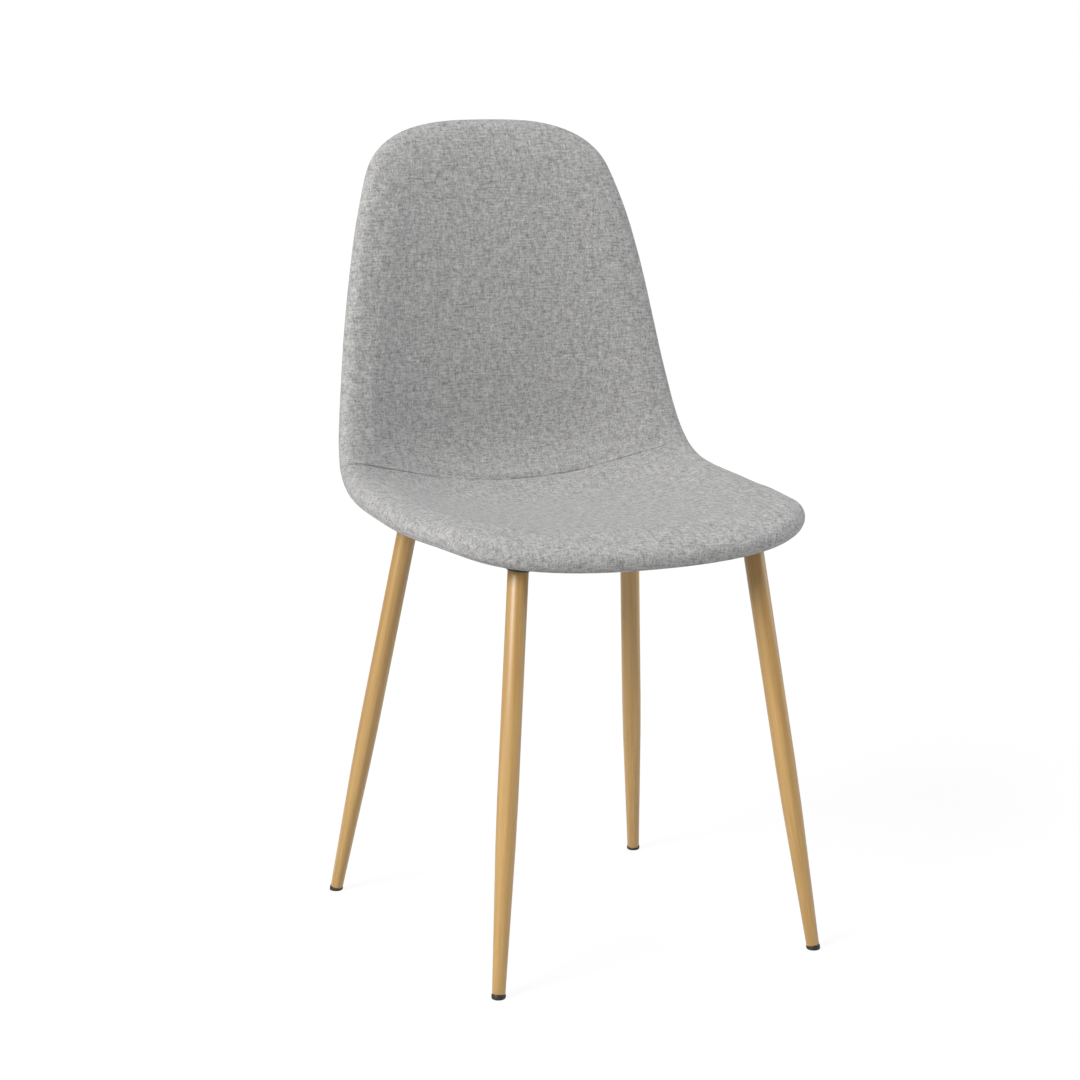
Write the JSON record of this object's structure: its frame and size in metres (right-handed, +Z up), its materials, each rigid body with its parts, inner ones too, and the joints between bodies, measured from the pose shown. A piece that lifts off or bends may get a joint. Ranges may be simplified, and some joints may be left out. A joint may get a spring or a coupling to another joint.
{
  "type": "parsons chair",
  "caption": "Upholstered dining chair with a padded one-piece shell seat and back on splayed, tapered round legs.",
  "frame": {"origin": "on the floor, under the middle of the chair's bounding box", "axes": "+X to the sitter's left as seen from the front (the viewer's right), -Y to the front, +Y to the back, +Z up"},
  "size_m": [0.4454, 0.4632, 0.8747],
  "materials": {
    "fabric": "matte",
    "wood_grain": "satin",
    "dark_plastic": "matte",
    "black_steel": "satin",
    "zinc": "satin",
    "plywood": "matte",
    "foam": "matte",
    "wadding": "matte",
    "listing": "matte",
    "liner": "matte"
  },
  "bodies": {
    "root": {"shell_board": "plywood", "seat_foam": "foam", "back_foam": "foam", "crease_listing": "listing", "rear_wadding": "wadding", "seat_cover": "fabric", "back_cover": "fabric", "rear_cover": "fabric", "underside_liner": "liner", "leg_front_left": "wood_grain", "leg_front_right": "wood_grain", "leg_rear_left": "wood_grain", "leg_rear_right": "wood_grain", "foot_glide_front_left": "dark_plastic", "foot_glide_front_right": "dark_plastic", "foot_glide_rear_left": "dark_plastic", "foot_glide_rear_right": "dark_plastic", "leg_plate_front_left": "black_steel", "leg_plate_front_right": "black_steel", "leg_plate_rear_left": "black_steel", "leg_plate_rear_right": "black_steel", "leg_pad_front_left": "dark_plastic", "leg_pad_front_right": "dark_plastic", "leg_pad_rear_left": "dark_plastic", "leg_pad_rear_right": "dark_plastic", "seat_bolt_front_left_1": "zinc", "seat_bolt_front_left_2": "zinc", "seat_bolt_front_right_1": "zinc", "seat_bolt_front_right_2": "zinc", "seat_bolt_rear_left_1": "zinc", "seat_bolt_rear_left_2": "zinc", "seat_bolt_rear_right_1": "zinc", "seat_bolt_rear_right_2": "zinc", "washer_front_left_1": "zinc", "washer_front_left_2": "zinc", "washer_front_right_1": "zinc", "washer_front_right_2": "zinc", "washer_rear_left_1": "zinc", "washer_rear_left_2": "zinc", "washer_rear_right_1": "zinc", "washer_rear_right_2": "zinc", "tee_nut_front_left_1": "zinc", "tee_nut_front_left_2": "zinc", "tee_nut_front_right_1": "zinc", "tee_nut_front_right_2": "zinc", "tee_nut_rear_left_1": "zinc", "tee_nut_rear_left_2": "zinc", "tee_nut_rear_right_1": "zinc", "tee_nut_rear_right_2": "zinc"}
  },
  "joints": []
}
